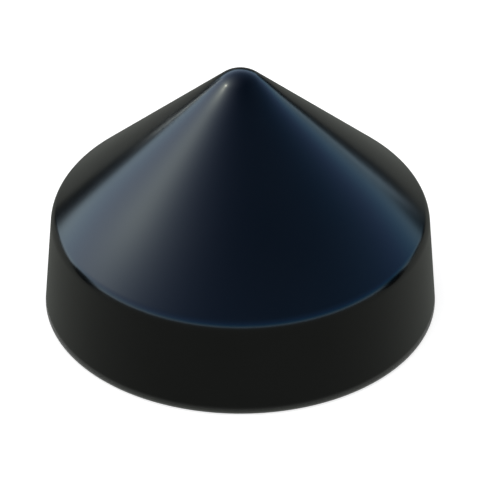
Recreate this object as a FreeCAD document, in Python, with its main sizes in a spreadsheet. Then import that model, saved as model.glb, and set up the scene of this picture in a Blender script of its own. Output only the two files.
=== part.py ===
# Pile cap: a cone-topped shell that is pushed down over the head of a round mooring pile.
# Millimetres. +Z is up, and the origin is the centre of the rim, on the plane that the rim stands on.
import FreeCAD, Part
import math
import os

import Sketcher

SIZES = {
    "mouth_bore": 254.0,  # inside diameter at the rim, for a round pile of 10 inches
    "wall": 4.0,  # even thickness of the moulding
    "skirt_height": 65.5,  # from the rim up to the shoulder round
    "skirt_draft": 3.0,  # degrees that the skirt leans in towards the top
    "cone_pitch": 45.0,  # degrees that the cone rises above level
    "nose_round": 22.0,  # outside radius of the tip
    "shoulder_round": 15.0,  # outside radius between skirt and cone
    "foot_round": 3.5,  # outside radius by which the skirt turns under to the rim
    "rim_land": 1.5,  # from the bore out to the foot round, where the cap stands
    "mouth_bevel": 0.5,  # narrow bevel on the inside edge of the rim
}
FIRST, LAST, MIDDLE = 1, 2, 3  # points of a sketched line or arc
ORIGIN, LEVEL_AXIS, UPRIGHT_AXIS = (-1, 1), -1, -2  # a sketch's own origin and axes
TOUCH = 1e-4  # how near two lengths are when they are the same


def make_size_sheet(doc):
    """A row for each driving size: its name, and its value in a cell that has the name as alias."""
    sheet = doc.addObject("Spreadsheet::Sheet", "Sizes")
    for row, (name, value) in enumerate(SIZES.items(), start=1):
        sheet.set(f"A{row}", name)
        sheet.set(f"B{row}", str(value))
        sheet.setAlias(f"B{row}", name)
    doc.recompute()
    return sheet


def flat_normal(elevation):
    return FreeCAD.Vector(math.cos(elevation), math.sin(elevation), 0)


def outline(sheet, inset):
    """Points of the half section, set in from the outside face by inset, in the sketch's plane."""
    draft = math.radians(sheet.skirt_draft)
    pitch = math.radians(sheet.cone_pitch)
    skirt_out = flat_normal(draft)
    cone_out = flat_normal(math.pi / 2 - pitch)
    skirt_foot = sheet.mouth_bore / 2 + sheet.wall / math.cos(draft)
    skirt_top = FreeCAD.Vector(skirt_foot - sheet.skirt_height * math.tan(draft), sheet.skirt_height, 0)
    shoulder = skirt_top - skirt_out * sheet.shoulder_round
    cone_foot = shoulder + cone_out * sheet.shoulder_round
    cone_line_height = cone_foot.y + cone_foot.x * math.tan(pitch)
    nose = FreeCAD.Vector(0, cone_line_height - sheet.nose_round / math.cos(pitch), 0)
    shoulder_round = sheet.shoulder_round - inset
    nose_round = sheet.nose_round - inset
    return {
        "foot": FreeCAD.Vector(skirt_foot - inset / math.cos(draft), 0, 0),
        "skirt_top": shoulder + skirt_out * shoulder_round,
        "shoulder": shoulder,
        "shoulder_round": shoulder_round,
        "cone_foot": shoulder + cone_out * shoulder_round,
        "cone_top": nose + cone_out * nose_round,
        "nose": nose,
        "nose_round": nose_round,
        "tip": nose + FreeCAD.Vector(0, nose_round, 0),
    }


def foot_arc(sheet):
    """Centre of the foot round, the point where it meets the rim, and its angle below level there."""
    draft = math.radians(sheet.skirt_draft)
    rim_end = FreeCAD.Vector(sheet.mouth_bore / 2 + sheet.rim_land, 0, 0)
    under = outline(sheet, 0.0)["foot"].x - rim_end.x
    turn = math.acos(1 - under * math.cos(draft) / sheet.foot_round) - draft
    return rim_end - flat_normal(-turn) * sheet.foot_round, rim_end, turn


def draw_face(sketch, sheet, inset, lowest):
    """Skirt, shoulder, cone and nose of one face of the wall, each tangent to the next."""
    at = outline(sheet, inset)
    draft = math.radians(sheet.skirt_draft)
    cone_out = math.pi / 2 - math.radians(sheet.cone_pitch)
    upright = FreeCAD.Vector(0, 0, 1)
    shoulder_circle = Part.Circle(at["shoulder"], upright, at["shoulder_round"])
    nose_circle = Part.Circle(at["nose"], upright, at["nose_round"])
    skirt = sketch.addGeometry(Part.LineSegment(lowest, at["skirt_top"]))
    shoulder = sketch.addGeometry(Part.ArcOfCircle(shoulder_circle, draft, cone_out))
    cone = sketch.addGeometry(Part.LineSegment(at["cone_foot"], at["cone_top"]))
    nose = sketch.addGeometry(Part.ArcOfCircle(nose_circle, cone_out, math.pi / 2))
    sketch.addConstraint([
        Sketcher.Constraint("Tangent", skirt, LAST, shoulder, FIRST),
        Sketcher.Constraint("Tangent", shoulder, LAST, cone, FIRST),
        Sketcher.Constraint("Tangent", cone, LAST, nose, FIRST),
        Sketcher.Constraint("PointOnObject", nose, LAST, UPRIGHT_AXIS),
    ])
    return skirt, shoulder, cone, nose


def drive(sketch, name, constraint, expression):
    """Adds a dimension whose value is worked out from the size sheet."""
    sketch.renameConstraint(sketch.addConstraint(constraint), name)
    sketch.setExpression(f"Constraints.{name}", expression)


def draw_section(body, sheet):
    """Closed half section of the wall, between the rim and the axis."""
    sketch = body.newObject("Sketcher::SketchObject", "WallSection")
    plane = next(f for f in body.Origin.OriginFeatures if f.Role == "XZ_Plane")
    sketch.AttachmentSupport = [(plane, "")]
    sketch.MapMode = "FlatFace"
    outer, inner = outline(sheet, 0.0), outline(sheet, sheet.wall)
    draft = math.radians(sheet.skirt_draft)
    foot_centre, rim_end, turn = foot_arc(sheet)
    foot_circle = Part.Circle(foot_centre, FreeCAD.Vector(0, 0, 1), sheet.foot_round)
    skirt_start = foot_centre + flat_normal(draft) * sheet.foot_round
    outer_skirt, outer_shoulder, outer_cone, outer_nose = draw_face(sketch, sheet, 0.0, skirt_start)
    inner_skirt, inner_shoulder, inner_cone, inner_nose = draw_face(sketch, sheet, sheet.wall, inner["foot"])
    foot = sketch.addGeometry(Part.ArcOfCircle(foot_circle, -turn, draft))
    rim = sketch.addGeometry(Part.LineSegment(inner["foot"], rim_end))
    axis = sketch.addGeometry(Part.LineSegment(outer["tip"], inner["tip"]))
    sketch.addConstraint([
        Sketcher.Constraint("Tangent", foot, LAST, outer_skirt, FIRST),
        Sketcher.Constraint("Coincident", rim, FIRST, inner_skirt, FIRST),
        Sketcher.Constraint("Coincident", rim, LAST, foot, FIRST),
        Sketcher.Constraint("PointOnObject", rim, FIRST, LEVEL_AXIS),
        Sketcher.Constraint("PointOnObject", rim, LAST, LEVEL_AXIS),
        Sketcher.Constraint("Coincident", axis, FIRST, outer_nose, LAST),
        Sketcher.Constraint("Coincident", axis, LAST, inner_nose, LAST),
        Sketcher.Constraint("PointOnObject", outer_nose, MIDDLE, UPRIGHT_AXIS),
        Sketcher.Constraint("Coincident", inner_nose, MIDDLE, outer_nose, MIDDLE),
        Sketcher.Constraint("Coincident", inner_shoulder, MIDDLE, outer_shoulder, MIDDLE),
        Sketcher.Constraint("Parallel", inner_skirt, outer_skirt),
    ])

    lean = math.pi / 2 + draft
    fall = math.pi - math.radians(sheet.cone_pitch)
    drive(sketch, "MouthRadius",
          Sketcher.Constraint("DistanceX", *ORIGIN, inner_skirt, FIRST, inner["foot"].x),
          "Sizes.mouth_bore / 2")
    drive(sketch, "RimLand",
          Sketcher.Constraint("DistanceX", rim, FIRST, rim, LAST, sheet.rim_land),
          "Sizes.rim_land")
    drive(sketch, "FootRound",
          Sketcher.Constraint("Radius", foot, sheet.foot_round),
          "Sizes.foot_round")
    drive(sketch, "SkirtHeight",
          Sketcher.Constraint("DistanceY", *ORIGIN, outer_skirt, LAST, sheet.skirt_height),
          "Sizes.skirt_height")
    drive(sketch, "SkirtLean",
          Sketcher.Constraint("Angle", outer_skirt, lean),
          "90 deg + Sizes.skirt_draft * 1 deg")
    drive(sketch, "ConeFall",
          Sketcher.Constraint("Angle", outer_cone, fall),
          "180 deg - Sizes.cone_pitch * 1 deg")
    drive(sketch, "OuterShoulder",
          Sketcher.Constraint("Radius", outer_shoulder, outer["shoulder_round"]),
          "Sizes.shoulder_round")
    drive(sketch, "InnerShoulder",
          Sketcher.Constraint("Radius", inner_shoulder, inner["shoulder_round"]),
          "Sizes.shoulder_round - Sizes.wall")
    drive(sketch, "OuterNose",
          Sketcher.Constraint("Radius", outer_nose, outer["nose_round"]),
          "Sizes.nose_round")
    drive(sketch, "InnerNose",
          Sketcher.Constraint("Radius", inner_nose, inner["nose_round"]),
          "Sizes.nose_round - Sizes.wall")
    return sketch


def rim_edge(shape, radius):
    """Name of the circular edge of that radius on the rim's plane."""
    for number, edge in enumerate(shape.Edges, start=1):
        if edge.Degenerated or not isinstance(edge.Curve, Part.Circle):
            continue
        if abs(edge.Curve.Center.z) < TOUCH and abs(edge.Curve.Radius - radius) < TOUCH:
            return f"Edge{number}"
    raise RuntimeError(f"the rim has no edge of radius {radius}")


def make_cap(doc, sheet):
    """The whole cap: one wall section, revolved, with a bevel on the inside edge of its rim."""
    body = doc.addObject("PartDesign::Body", "CapShell")
    body.Label = "cap_shell"
    section = draw_section(body, sheet)
    doc.recompute()
    turned = body.newObject("PartDesign::Revolution", "TurnedWall")
    turned.Profile = section
    turned.ReferenceAxis = (section, ["V_Axis"])
    turned.Angle = 360.0
    doc.recompute()
    bevel = body.newObject("PartDesign::Chamfer", "MouthBevel")
    bevel.Base = (turned, [rim_edge(turned.Shape, sheet.mouth_bore / 2)])
    bevel.setExpression("Size", "Sizes.mouth_bevel")
    doc.recompute()
    return body


def check(doc, bodies):
    """Stops before anything is written if a feature failed or a body isn't one sound solid."""
    for item in doc.Objects:
        if "Invalid" in item.State or "Error" in item.State:
            raise RuntimeError(f"{item.Label} failed: {item.State}")
    for body in bodies:
        if body.Shape.isNull() or not body.Shape.isValid() or len(body.Shape.Solids) != 1:
            raise RuntimeError(f"{body.Label} isn't one sound solid")


def main():
    os.makedirs("parts", exist_ok=True)
    doc = FreeCAD.newDocument("pile_cap")
    bodies = [make_cap(doc, make_size_sheet(doc))]
    check(doc, bodies)
    for body in bodies:
        body.Shape.exportStep(f"parts/{body.Label}.step")
        box = body.Shape.BoundBox
        print(f"{body.Label}: {box.XLength:.2f} x {box.YLength:.2f} x {box.ZLength:.2f} mm, "
              f"{body.Shape.Volume / 1000:.1f} cm3")


main()
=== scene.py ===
import bpy
import bmesh
import math
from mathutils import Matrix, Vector


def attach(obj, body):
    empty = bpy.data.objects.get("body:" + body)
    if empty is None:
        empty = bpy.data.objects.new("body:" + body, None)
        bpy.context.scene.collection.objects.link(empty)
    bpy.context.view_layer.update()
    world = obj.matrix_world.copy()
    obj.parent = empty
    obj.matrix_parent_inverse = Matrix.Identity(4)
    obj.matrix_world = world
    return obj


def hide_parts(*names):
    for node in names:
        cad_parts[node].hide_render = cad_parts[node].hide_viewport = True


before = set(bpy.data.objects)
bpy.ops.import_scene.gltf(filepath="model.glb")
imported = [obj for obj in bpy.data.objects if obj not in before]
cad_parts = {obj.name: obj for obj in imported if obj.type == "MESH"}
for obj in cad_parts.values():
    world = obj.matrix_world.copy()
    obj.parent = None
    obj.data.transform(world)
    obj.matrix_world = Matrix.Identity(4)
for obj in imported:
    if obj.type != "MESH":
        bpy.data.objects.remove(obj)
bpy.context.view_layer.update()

mm = 0.001
photoPixels = 480
scene = bpy.context.scene


# cap shell: one moulded wall, turned about the upright axis

capShell = {
    "mouthBore": 254.0,  # inside diameter at the rim, mm
    "wall": 4.0,
    "skirtHeight": 65.5,  # from the rim up to the shoulder round
    "skirtDraft": 3.0,  # degrees
    "conePitch": 45.0,  # degrees above level
    "noseRound": 22.0,
    "shoulderRound": 15.0,
    "footRound": 3.5,  # the skirt turns under with this radius
    "rimLand": 1.5,  # from the bore out to the foot round
    "mouthBevel": 0.5,
    "roundSegments": 288,
    "arcStep": 2.6,  # degrees between rings on the rounds
    "ringGap": 4.0,  # mm between rings on the straight runs
    "holdGap": 0.8,  # mm from a round to the ring that holds its edge
    "sharpAngle": 30.0,  # degrees, for the two small edges of the rim
    "noseEase": (6.4, 21.0, 8.5),  # degrees that the gloss bends, over mm of cone and degrees of nose
    "shoulderEase": (4.0, 51.5, 4.9),  # the same at the cone's foot, over cone and shoulder
    "easePower": 1.5,
    "footBand": 7.0,  # mm above the rim where the gloss starts to turn under
    "footLean": 50.0,  # degrees below level that it has reached at the rim
    "footPower": 1.4,
    "bandGap": 0.7,  # mm between rings there
    "onAxis": 0.05,  # mm: a ring narrower than this is a single point
}


def pointOn(centre, radius, degrees):
    angle = math.radians(degrees)
    return (centre[0] + radius * math.cos(angle), centre[1] + radius * math.sin(angle))


def arcRun(centre, radius, first, last, step):
    # rings of an arc, each a radius, a height and a slope: degrees that the surface faces above level
    count = max(2, math.ceil(abs(last - first) / step))
    slopes = [first + (last - first) * i / count for i in range(count + 1)]
    return [(*pointOn(centre, radius, slope), slope) for slope in slopes]


def straightRun(start, end, gap, hold):
    # rings between two rounds, with one near each end, the ends left to the rounds
    length = math.dist(start[:2], end[:2])
    count = max(1, math.ceil((length - 2 * hold) / gap))
    along = [hold + (length - 2 * hold) * i / count for i in range(count + 1)]
    return [(*(a + (b - a) * d / length for a, b in zip(start[:2], end[:2])), start[2]) for d in along]


def eased(share, power):
    # full at the start of a bend, and nothing from its end on
    return max(0.0, 1.0 - share) ** power


def wallProfile(sizes):
    # rings from the outer tip down to the rim and back up inside: the outside, the rim and the inside
    draft, pitch = math.radians(sizes["skirtDraft"]), math.radians(sizes["conePitch"])
    coneNormal = 90.0 - sizes["conePitch"]
    rimRadius = sizes["mouthBore"] / 2 + sizes["wall"] / math.cos(draft)
    skirtTop = (rimRadius - sizes["skirtHeight"] * math.tan(draft), sizes["skirtHeight"])
    shoulder = pointOn(skirtTop, -sizes["shoulderRound"], sizes["skirtDraft"])
    coneFoot = pointOn(shoulder, sizes["shoulderRound"], coneNormal)
    coneLine = coneFoot[1] + coneFoot[0] * math.tan(pitch)
    nose = (0.0, coneLine - sizes["noseRound"] / math.cos(pitch))
    rimEnd = (sizes["mouthBore"] / 2 + sizes["rimLand"], 0.0)
    under = (rimRadius - rimEnd[0]) * math.cos(draft)
    footTurn = math.degrees(math.acos(1 - under / sizes["footRound"])) - sizes["skirtDraft"]
    footCentre = pointOn(rimEnd, -sizes["footRound"], -footTurn)

    def face(inset, lowest):
        # nose, cone, shoulder and skirt of one face of the wall, down to the lowest point
        noseRound, shoulderRound = sizes["noseRound"] - inset, sizes["shoulderRound"] - inset
        noseArc = arcRun(nose, noseRound, 90.0, coneNormal, sizes["arcStep"])
        shoulderArc = arcRun(shoulder, shoulderRound, coneNormal, sizes["skirtDraft"], sizes["arcStep"])
        cone = straightRun(noseArc[-1], shoulderArc[0], sizes["ringGap"], sizes["holdGap"])
        skirt = straightRun(shoulderArc[-1], lowest, sizes["ringGap"], sizes["holdGap"])
        return [noseArc, cone, shoulderArc, skirt]

    def softened(noseArc, cone, shoulderArc, skirt):
        # the form stays as it is: only the slope that the gloss sees bends, at both ends of the cone
        noseBend, noseReach, noseTurn = sizes["noseEase"]
        shoulderBend, shoulderReach, shoulderTurn = sizes["shoulderEase"]
        power = sizes["easePower"]
        top, low = noseArc[-1][:2], shoulderArc[0][:2]

        def onNose(slope):
            return slope + noseBend * eased((slope - coneNormal) / noseTurn, power)

        def onCone(place, slope):
            atTop = noseBend * eased(math.dist(place, top) / noseReach, power)
            atFoot = shoulderBend * eased(math.dist(place, low) / shoulderReach, power)
            return slope + atTop - atFoot

        def onShoulder(slope):
            return slope - shoulderBend * eased((coneNormal - slope) / shoulderTurn, power)

        noseArc = [(radius, height, onNose(slope)) for radius, height, slope in noseArc]
        cone = [(radius, height, onCone((radius, height), slope)) for radius, height, slope in cone]
        shoulderArc = [(radius, height, onShoulder(slope)) for radius, height, slope in shoulderArc]
        return noseArc + cone + shoulderArc + skirt

    def turnedUnder(rings):
        # the same near the foot: from the skirt's slope down to the lean that it has at the rim
        fall = sizes["skirtDraft"] + sizes["footLean"]

        def onBand(height):
            return sizes["skirtDraft"] - fall * (1 - (height / sizes["footBand"]) ** sizes["footPower"])

        return [(radius, height, onBand(height)) for radius, height, slope in rings]

    foot = arcRun(footCentre, sizes["footRound"], sizes["skirtDraft"], -footTurn, sizes["arcStep"])
    bandRadius = skirtTop[0] + (sizes["skirtHeight"] - sizes["footBand"]) * math.tan(draft)
    bandTop = (bandRadius, sizes["footBand"], sizes["skirtDraft"])
    band = [bandTop] + straightRun(bandTop, foot[0], sizes["bandGap"], sizes["holdGap"])
    bevelFoot = (sizes["mouthBore"] / 2 + sizes["mouthBevel"], 0.0)
    bevelTop = pointOn((sizes["mouthBore"] / 2, 0.0), sizes["mouthBevel"], 90.0 + sizes["skirtDraft"])
    outside = softened(*face(0.0, bandTop)) + turnedUnder(band + foot)
    rim = [(*bevelFoot, None), (*bevelTop, None)]
    inside = sum(face(sizes["wall"], bevelTop), [])[::-1]
    return outside, rim, [(radius, height, slope + 180.0) for radius, height, slope in inside]


def shadeBySlope(mesh, slopes, flatRows, segments):
    # every corner faces the way its ring's slope says, apart from the rim's narrow flats
    normals = []
    # the first ring is the single point of the tip, and the others have all their segments
    ringOf = [0] + [1 + (i - 1) // segments for i in range(1, len(mesh.vertices))]
    for face in mesh.polygons:
        flat = face.index // segments in flatRows
        for corner in face.loop_indices:
            vertex = mesh.loops[corner].vertex_index
            place = mesh.vertices[vertex].co
            slope = math.radians(slopes[ringOf[vertex]] or 0.0)
            turn = math.atan2(place.y, place.x)
            level = math.cos(slope)
            facing = (level * math.cos(turn), level * math.sin(turn), math.sin(slope))
            normals.append((0.0, 0.0, 0.0) if flat else facing)
    mesh.normals_split_custom_set(normals)


def addRing(bm, radius, height, sizes):
    # one ring of points, or a single point where the wall meets the axis
    if radius < sizes["onAxis"]:
        return [bm.verts.new((0.0, 0.0, height * mm))]
    turns = [math.tau * i / sizes["roundSegments"] for i in range(sizes["roundSegments"])]
    wide, high = radius * mm, height * mm
    return [bm.verts.new((wide * math.cos(turn), wide * math.sin(turn), high)) for turn in turns]


def turnWall(name, sizes):
    outside, rim, inside = wallProfile(sizes)
    profile = outside + rim + inside
    bandStart = sum(height > sizes["footBand"] for radius, height, slope in outside)
    insideStart = len(outside) + len(rim) - 1

    def finishOf(row):
        # gloss on the outside, with a sheen along the foot and the rim, dull inside; all three carry
        # the painted reflection near the rim
        if row < bandStart:
            return 0
        return 1 if row < insideStart else 2

    bm = bmesh.new()
    rings = [addRing(bm, radius, height, sizes) for radius, height, slope in profile]
    for row, (upper, lower) in enumerate(zip(rings, rings[1:])):
        for i in range(sizes["roundSegments"]):
            j = (i + 1) % sizes["roundSegments"]
            if len(upper) == 1:
                face = bm.faces.new((upper[0], lower[i], lower[j]))
            elif len(lower) == 1:
                face = bm.faces.new((upper[j], upper[i], lower[0]))
            else:
                face = bm.faces.new((upper[j], upper[i], lower[i], lower[j]))
            face.smooth = True
            face.material_index = finishOf(row)
    bmesh.ops.recalc_face_normals(bm, faces=bm.faces)
    mesh = bpy.data.meshes.new(name)
    bm.to_mesh(mesh)
    bm.free()
    mesh.set_sharp_from_angle(angle=math.radians(sizes["sharpAngle"]))
    flatRows = range(len(outside) - 1, insideStart)
    shadeBySlope(mesh, [slope for radius, height, slope in profile], flatRows, sizes["roundSegments"])
    piece = bpy.data.objects.new(name, mesh)
    scene.collection.objects.link(piece)
    return piece


# plastic: black, moulded, glossy outside and duller inside

glossBlack = {
    "lightBend": 1.5,  # index of refraction of the plastic
    "darkTone": (0.0002, 0.0002, 0.0002, 1),
    "paleTone": (0.0005, 0.0005, 0.0005, 1),
    "roughLow": 0.19,
    "roughHigh": 0.21,
    "cloudScale": 22.0,  # slow drift of tone and gloss over the moulding
    "cloudDetail": 3.0,
    "cloudSpan": (0.35, 0.65),  # the part of the drift that the tone and the gloss run over
    "grainScale": 900.0,  # fine moulded skin
    "grainDetail": 2.0,
    "grainStrength": 0.02,
    "grainDepth": 0.00002,  # metres
    "paintedReflectionTone": (0.024, 0.027, 0.022, 1),  # painted reflection: paler along the edge that the cap stands on, where the pale ground is mirrored
    "paintedReflectionFrom": 0.0050,  # metres above the rim
    "paintedReflectionFull": 0.0018,
    "sheen": 0.0,
    "sheenRough": 0.3,
}
footSheenBlack = dict(glossBlack, sheen=0.16)  # along the foot: a sheen, paler where it is seen at a slant, over the painted reflection that every finish has near the rim
dullBlack = dict(
    glossBlack,
    darkTone=(0.0020, 0.0020, 0.0021, 1),
    paleTone=(0.0045, 0.0045, 0.0047, 1),
    roughLow=0.40,
    roughHigh=0.50,
    grainStrength=0.10,
)


def between(tree, value, start, end, low=0.0, high=1.0):
    # runs evenly from low to high while the value goes from start to end
    step = tree.nodes.new("ShaderNodeMapRange")
    tree.links.new(value, step.inputs["Value"])
    for socket, amount in zip(("From Min", "From Max", "To Min", "To Max"), (start, end, low, high)):
        step.inputs[socket].default_value = amount
    return step.outputs["Result"]


def noiseOver(tree, coords, scale, detail):
    noise = tree.nodes.new("ShaderNodeTexNoise")
    noise.inputs["Scale"].default_value = scale
    noise.inputs["Detail"].default_value = detail
    tree.links.new(coords, noise.inputs["Vector"])
    return noise.outputs["Fac"]


def mouldedPlastic(name, look):
    material = bpy.data.materials.new(name)
    material.use_nodes = True
    tree = material.node_tree
    shader = tree.nodes["Principled BSDF"]
    shader.inputs["IOR"].default_value = look["lightBend"]
    shader.inputs["Sheen Weight"].default_value = look["sheen"]
    shader.inputs["Sheen Roughness"].default_value = look["sheenRough"]
    coords = tree.nodes.new("ShaderNodeTexCoord").outputs["Object"]
    cloud = noiseOver(tree, coords, look["cloudScale"], look["cloudDetail"])

    tone = tree.nodes.new("ShaderNodeValToRGB")
    tones = look["darkTone"], look["paleTone"]
    for element, position, shade in zip(tone.color_ramp.elements, look["cloudSpan"], tones):
        element.position = position
        element.color = shade
    tree.links.new(cloud, tone.inputs["Fac"])
    # painted reflection: the base colour turns paler towards the rim, standing in for the ground
    # mirrored along the foot
    place = tree.nodes.new("ShaderNodeSeparateXYZ")
    tree.links.new(coords, place.inputs["Vector"])
    paintedReflection = tree.nodes.new("ShaderNodeMixRGB")
    paintedReflection.inputs["Color2"].default_value = look["paintedReflectionTone"]
    nearRim = between(tree, place.outputs["Z"], look["paintedReflectionFrom"], look["paintedReflectionFull"])
    tree.links.new(nearRim, paintedReflection.inputs["Fac"])
    tree.links.new(tone.outputs["Color"], paintedReflection.inputs["Color1"])
    tree.links.new(paintedReflection.outputs["Color"], shader.inputs["Base Color"])

    gloss = between(tree, cloud, *look["cloudSpan"], look["roughLow"], look["roughHigh"])
    tree.links.new(gloss, shader.inputs["Roughness"])

    bump = tree.nodes.new("ShaderNodeBump")
    bump.inputs["Strength"].default_value = look["grainStrength"]
    bump.inputs["Distance"].default_value = look["grainDepth"]
    grain = noiseOver(tree, coords, look["grainScale"], look["grainDetail"])
    tree.links.new(grain, bump.inputs["Height"])
    tree.links.new(bump.outputs["Normal"], shader.inputs["Normal"])
    return material


cap = turnWall("cap_shell_turned", capShell)
finishes = {  # in the order that the cap's faces count them
    "glossBlackPlastic": glossBlack,
    "footSheenBlackPlastic": footSheenBlack,
    "dullBlackPlastic": dullBlack,
}
for name, look in finishes.items():
    cap.data.materials.append(mouldedPlastic(name, look))
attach(cap, "root")
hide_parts("cap_shell")
print("cap shell turned:", len(cap.data.polygons), "faces")


# camera: parallel view at the photo's angle, from the front and 35 degrees up

photoView = {
    "elevation": 35.264,
    "pixelsPerMillimetre": 1.4877,
    "aimHeight": 52.0,  # mm above the rim, at the middle of the frame
    "aimSide": -0.25,  # mm
    "distance": 1.2,  # metres from the aim
    "farLimit": 20.0,  # metres, past the far edge of the floor
}


def placeCamera(view):
    camera = bpy.data.cameras.new("photoCamera")
    camera.type = "ORTHO"
    camera.ortho_scale = photoPixels / view["pixelsPerMillimetre"] * mm
    camera.clip_end = view["farLimit"]
    holder = bpy.data.objects.new("photoCamera", camera)
    scene.collection.objects.link(holder)
    lift = math.radians(view["elevation"])
    aim = Vector((view["aimSide"] * mm, 0.0, view["aimHeight"] * mm))
    holder.location = aim + view["distance"] * Vector((0.0, -math.cos(lift), math.sin(lift)))
    holder.rotation_euler = (math.pi / 2 - lift, 0.0, 0.0)
    scene.camera = holder


placeCamera(photoView)
print("camera placed")


# surroundings: a pale studio for the eye and the floor, and an open sky for the gloss to mirror

openSky = {
    "stops": [  # elevation in degrees, and the sky's light there
        (0, (1.55, 2.06, 2.60)),
        (5, (0.379, 0.784, 1.099)),
        (11, (0.044, 0.433, 0.944)),
        (18, (0.115, 0.274, 0.715)),
        (27, (0.110, 0.262, 0.539)),
        (38, (0.086, 0.186, 0.369)),
        (50, (0.080, 0.154, 0.290)),
        (70, (0.022, 0.071, 0.152)),
    ],
    "rampPeak": 3.0,  # brightest that the ramps below may hold
    "horizon": 0.16,  # degrees
    "horizonSoftness": 1.7,  # degrees from ground to sky
    "ground": (0.197, 0.208, 0.191),
    "groundBelow": (0.325, 0.34, 0.325),  # brighter straight below
    "belowFrom": -35.0,  # degrees, where the ground starts to brighten
    "belowFull": -85.0,
    "groundTurn": [  # degrees away from the camera's side, and the share of the ground's light there
        (0, 0.93),
        (50, 0.95),
        (110, 1.21),
        (128, 1.13),
        (160, 0.81),
        (180, 0.78),
    ],
    "groundFar": 1.2,  # share of its light towards the horizon
    "farFrom": -33.0,  # degrees, where it starts to change to that
    "farFull": -9.0,
    "glowAzimuth": -107.0,  # degrees from the camera's side, counted to the right
    "glowElevation": 40.0,
    "glowLight": (5.25, 5.70, 5.0),
    "glowFall": (12.9, 13.3, 16.0),  # degrees for red, green and blue to fall to a third
    "sideAzimuth": -142.9,  # a low broad light beside the glow
    "sideLight": (1.33, 1.40, 1.26),
    "sideSpread": 2.0,
    "sideHeight": 22.4,  # degrees above the horizon, where a third of it is left
    "farDark": [  # azimuth, elevation, half width, half height, depth and sharpness of edge
        (-99.5, -3.5, 11.1, 10.7, 1.64, 9.0),
        (97.4, -3.6, 10.5, 10.6, 2.04, 8.4),
        (-133.0, 0.45, 15.2, 2.3, 1.08, 1.54),
        (119.6, 1.1, 8.2, 2.2, 1.6, 3.3),
        (-143.0, -0.3, 6.3, 11.3, 1.09, 8.6),
        (135.0, -1.3, 5.9, 6.6, 2.04, 8.4),
        (141.5, -3.0, 4.0, 3.6, 0.9, 2.0),
        (-163.6, 1.4, 16.4, 7.4, 0.96, 4.1),
        (151.0, 0.9, 8.5, 6.6, 1.39, 6.5),
        (174.0, 1.5, 18.0, 8.5, 1.0, 3.0),
    ],
    "studio": (0.93, 0.93, 0.93, 1),
}


def number(tree, kind, first, second=None, third=None):
    # one step of arithmetic, whose inputs are numbers or other steps
    node = tree.nodes.new("ShaderNodeMath")
    node.operation = kind
    for socket, value in zip(node.inputs, (first, second, third)):
        if isinstance(value, (int, float)):
            socket.default_value = value
        elif value is not None:
            tree.links.new(value, socket)
    return node.outputs["Value"]


def colour(tree, kind, first, second):
    # the same for colours
    node = tree.nodes.new("ShaderNodeVectorMath")
    node.operation = kind
    for socket, value in zip(node.inputs, (first, second)):
        if isinstance(value, tuple):
            socket.default_value = value
        else:
            tree.links.new(value, socket)
    return node.outputs["Vector"]


def squared(tree, value):
    return number(tree, "POWER", number(tree, "ABSOLUTE", value), 2.0)


def fading(tree, amount):
    # 1 where the amount is nothing, and less and less as it grows
    return number(tree, "EXPONENT", number(tree, "MULTIPLY", amount, -1.0))


def combine(tree, parts):
    node = tree.nodes.new("ShaderNodeCombineXYZ")
    for socket, part in zip(node.inputs, parts):
        tree.links.new(part, socket)
    return node.outputs["Vector"]


def grey(tree, value):
    return combine(tree, (value, value, value))


def toward(azimuth, elevation):
    # direction of a place in the surroundings, both in degrees
    turn, lift = math.radians(azimuth), math.radians(elevation)
    return (math.cos(lift) * math.sin(turn), -math.cos(lift) * math.cos(turn), math.sin(lift))


def rampOver(tree, stops, peak, value):
    # light that changes with a value, from stops that are a value and a light each. A ramp holds
    # no more than 1, so the light is divided by the peak and multiplied by it afterwards
    lowest, highest = stops[0][0], stops[-1][0]
    ramp = tree.nodes.new("ShaderNodeValToRGB")
    elements = ramp.color_ramp.elements
    for place, (stop, light) in enumerate(stops):
        spot = (stop - lowest) / (highest - lowest)
        element = elements[place] if place < 2 else elements.new(spot)  # a new ramp has two already
        element.position = spot
        tone = light if isinstance(light, tuple) else (light,) * 3
        element.color = [part / peak for part in tone] + [1]
    share = number(tree, "DIVIDE", number(tree, "SUBTRACT", value, lowest), highest - lowest)
    tree.links.new(share, ramp.inputs["Fac"])
    return colour(tree, "MULTIPLY", ramp.outputs["Color"], (peak,) * 3)


def glowRound(tree, sky, direction):
    # a bright glow, fading with the angle away from its middle
    dot = tree.nodes.new("ShaderNodeVectorMath")
    dot.operation = "DOT_PRODUCT"
    tree.links.new(direction, dot.inputs[0])
    dot.inputs[1].default_value = toward(sky["glowAzimuth"], sky["glowElevation"])
    away = number(tree, "DEGREES", number(tree, "ARCCOSINE", dot.outputs["Value"]))
    falls = [fading(tree, number(tree, "DIVIDE", away, fall)) for fall in sky["glowFall"]]
    return colour(tree, "MULTIPLY", combine(tree, falls), sky["glowLight"])


def glowAtSide(tree, sky, azimuth, elevation):
    # a broad light, brightest at its azimuth, nothing opposite, and fading upward
    aside = number(tree, "RADIANS", number(tree, "SUBTRACT", azimuth, sky["sideAzimuth"]))
    facing = number(tree, "MULTIPLY_ADD", number(tree, "COSINE", aside), 0.5, 0.5)
    near = number(tree, "POWER", facing, sky["sideSpread"])
    height = number(tree, "DIVIDE", number(tree, "MAXIMUM", elevation, 0.0), sky["sideHeight"])
    low = fading(tree, squared(tree, height))
    return colour(tree, "MULTIPLY", grey(tree, number(tree, "MULTIPLY", near, low)), sky["sideLight"])


def aboveGround(tree, sky, elevation):
    # 0 on the ground, 1 in the sky, and soft between
    step = tree.nodes.new("ShaderNodeMapRange")
    step.interpolation_type = "SMOOTHSTEP"
    tree.links.new(elevation, step.inputs["Value"])
    step.inputs["From Min"].default_value = sky["horizon"] - sky["horizonSoftness"] / 2
    step.inputs["From Max"].default_value = sky["horizon"] + sky["horizonSoftness"] / 2
    return step.outputs["Result"]


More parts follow.
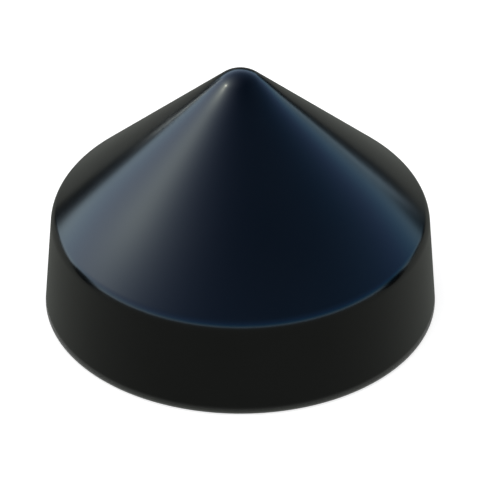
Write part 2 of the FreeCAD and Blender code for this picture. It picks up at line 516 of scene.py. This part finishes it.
def groundLight(tree, sky, azimuth, elevation):
    # brighter straight below, with a mild drift round the compass and towards the horizon
    extra = tuple(below - far for below, far in zip(sky["groundBelow"], sky["ground"]))
    below = grey(tree, between(tree, elevation, sky["belowFrom"], sky["belowFull"]))
    light = colour(tree, "ADD", colour(tree, "MULTIPLY", below, extra), sky["ground"])
    turned = rampOver(tree, sky["groundTurn"], sky["rampPeak"], number(tree, "ABSOLUTE", azimuth))
    far = grey(tree, between(tree, elevation, sky["farFrom"], sky["farFull"], 1.0, sky["groundFar"]))
    return colour(tree, "MULTIPLY", colour(tree, "MULTIPLY", light, turned), far)


def darkened(tree, light, spot, azimuth, elevation):
    # a dim shape far off at the horizon
    spotAzimuth, spotElevation, halfWidth, halfHeight, depth, edge = spot
    aside = number(tree, "WRAP", number(tree, "SUBTRACT", azimuth, spotAzimuth), 180.0, -180.0)
    lift = number(tree, "SUBTRACT", elevation, spotElevation)
    across = squared(tree, number(tree, "DIVIDE", aside, halfWidth))
    upward = squared(tree, number(tree, "DIVIDE", lift, halfHeight))
    reach = number(tree, "POWER", number(tree, "ADD", across, upward), edge)
    dark = number(tree, "MULTIPLY", fading(tree, reach), depth)
    left = number(tree, "MAXIMUM", number(tree, "SUBTRACT", 1.0, dark), 0.0)
    return colour(tree, "MULTIPLY", light, grey(tree, left))


def surround(sky):
    world = bpy.data.worlds.new("surroundings")
    world.use_nodes = True
    world.cycles.sampling_method = "NONE"
    scene.world = world
    tree = world.node_tree
    direction = tree.nodes.new("ShaderNodeTexCoord").outputs["Generated"]
    parts = tree.nodes.new("ShaderNodeSeparateXYZ")
    tree.links.new(direction, parts.inputs["Vector"])
    elevation = number(tree, "DEGREES", number(tree, "ARCSINE", parts.outputs["Z"]))
    toCamera = number(tree, "MULTIPLY", parts.outputs["Y"], -1.0)
    azimuth = number(tree, "DEGREES", number(tree, "ARCTAN2", parts.outputs["X"], toCamera))

    light = rampOver(tree, sky["stops"], sky["rampPeak"], elevation)
    light = colour(tree, "ADD", light, glowRound(tree, sky, direction))
    light = colour(tree, "ADD", light, glowAtSide(tree, sky, azimuth, elevation))
    above = aboveGround(tree, sky, elevation)
    under = number(tree, "SUBTRACT", 1.0, above)
    below = colour(tree, "MULTIPLY", grey(tree, under), groundLight(tree, sky, azimuth, elevation))
    light = colour(tree, "ADD", colour(tree, "MULTIPLY", light, grey(tree, above)), below)
    for spot in sky["farDark"]:
        light = darkened(tree, light, spot, azimuth, elevation)

    mirrored = tree.nodes["Background"]
    tree.links.new(light, mirrored.inputs["Color"])
    studio = tree.nodes.new("ShaderNodeBackground")
    studio.inputs["Color"].default_value = sky["studio"]
    choice = tree.nodes.new("ShaderNodeMixShader")
    tree.links.new(tree.nodes.new("ShaderNodeLightPath").outputs["Is Glossy Ray"], choice.inputs["Fac"])
    tree.links.new(studio.outputs["Background"], choice.inputs[1])
    tree.links.new(mirrored.outputs["Background"], choice.inputs[2])
    tree.links.new(choice.outputs["Shader"], tree.nodes["World Output"].inputs["Surface"])


surround(openSky)
print("surroundings set")


# lights and floor

studioLights = {
    "boxPower": 12.0,  # watts
    "boxSide": 1.6,  # metres
    "boxPlace": (-0.7, -0.9, 1.9),
    "sparkAzimuth": -106.8,  # degrees, counted as for the sky
    "sparkElevation": 43.8,
    "sparkPower": 0.22,
    "sparkColour": (1.0, 1.0, 0.85),
    "sparkWidth": 0.6,  # degrees
}


def softBox(lights):
    # lights the floor and the plastic, and the gloss doesn't mirror it
    lamp = bpy.data.lights.new("softBox", "AREA")
    lamp.energy = lights["boxPower"]
    lamp.size = lights["boxSide"]
    holder = bpy.data.objects.new("softBox", lamp)
    holder.location = lights["boxPlace"]
    holder.rotation_euler = (-holder.location).to_track_quat("-Z", "Y").to_euler()
    holder.visible_glossy = False
    scene.collection.objects.link(holder)


def sparkLamp(lights):
    # the small bright point on the nose
    lamp = bpy.data.lights.new("sparkLamp", "SUN")
    lamp.energy = lights["sparkPower"]
    lamp.color = lights["sparkColour"]
    lamp.angle = math.radians(lights["sparkWidth"])
    holder = bpy.data.objects.new("sparkLamp", lamp)
    away = Vector(toward(lights["sparkAzimuth"], lights["sparkElevation"]))
    holder.rotation_euler = away.to_track_quat("Z", "Y").to_euler()
    holder.visible_diffuse = False
    scene.collection.objects.link(holder)


paleCard = {
    "azimuth": -138.5,  # stands behind and to the left, and only the gloss sees it
    "distance": 0.489,  # metres from the cap's axis
    "aside": 0.003,  # metres
    "width": 0.020,  # metres
    "low": 0.149,  # metres above the floor
    "high": 0.378,
    "light": (2.94, 3.21, 3.16, 1),
}


def standCard(card):
    # mirrored near the top of the cone's left edge, where a far light would run all the way down
    bpy.ops.mesh.primitive_plane_add(size=1.0)
    plane = bpy.context.object
    plane.name = "paleCard"
    plane.scale = (card["width"], card["high"] - card["low"], 1.0)
    turn = math.radians(card["azimuth"])
    away = Vector((math.sin(turn), -math.cos(turn), 0.0))
    aside = Vector((math.cos(turn), math.sin(turn), 0.0))
    middle = Vector((0.0, 0.0, (card["low"] + card["high"]) / 2))
    plane.location = away * card["distance"] + aside * card["aside"] + middle
    plane.rotation_euler = (math.pi / 2, 0.0, turn)
    material = bpy.data.materials.new("paleCard")
    material.use_nodes = True
    shader = material.node_tree.nodes["Principled BSDF"]
    shader.inputs["Base Color"].default_value = (0, 0, 0, 1)
    shader.inputs["Specular IOR Level"].default_value = 0.0
    shader.inputs["Emission Color"].default_value = card["light"]
    shader.inputs["Emission Strength"].default_value = 1.0
    plane.data.materials.append(material)
    plane.visible_camera = plane.visible_diffuse = plane.visible_shadow = False


paleFloor = {
    "side": 12.0,  # metres
    "tone": (0.60, 0.60, 0.60, 1),
    "glow": 0.62,  # lit from within like a light table, so that the shadow stays faint
}


def layFloor(floor):
    bpy.ops.mesh.primitive_plane_add(size=floor["side"])
    plane = bpy.context.object
    plane.name = "paleFloor"
    material = bpy.data.materials.new("paleFloor")
    material.use_nodes = True
    shader = material.node_tree.nodes["Principled BSDF"]
    shader.inputs["Base Color"].default_value = floor["tone"]
    shader.inputs["Roughness"].default_value = 1.0
    shader.inputs["Specular IOR Level"].default_value = 0.0
    shader.inputs["Emission Color"].default_value = (1, 1, 1, 1)
    shader.inputs["Emission Strength"].default_value = floor["glow"]
    plane.data.materials.append(material)
    plane.visible_glossy = False


softBox(studioLights)
sparkLamp(studioLights)
standCard(paleCard)
layFloor(paleFloor)
scene.view_settings.view_transform = "Standard"
print("lights and floor set")
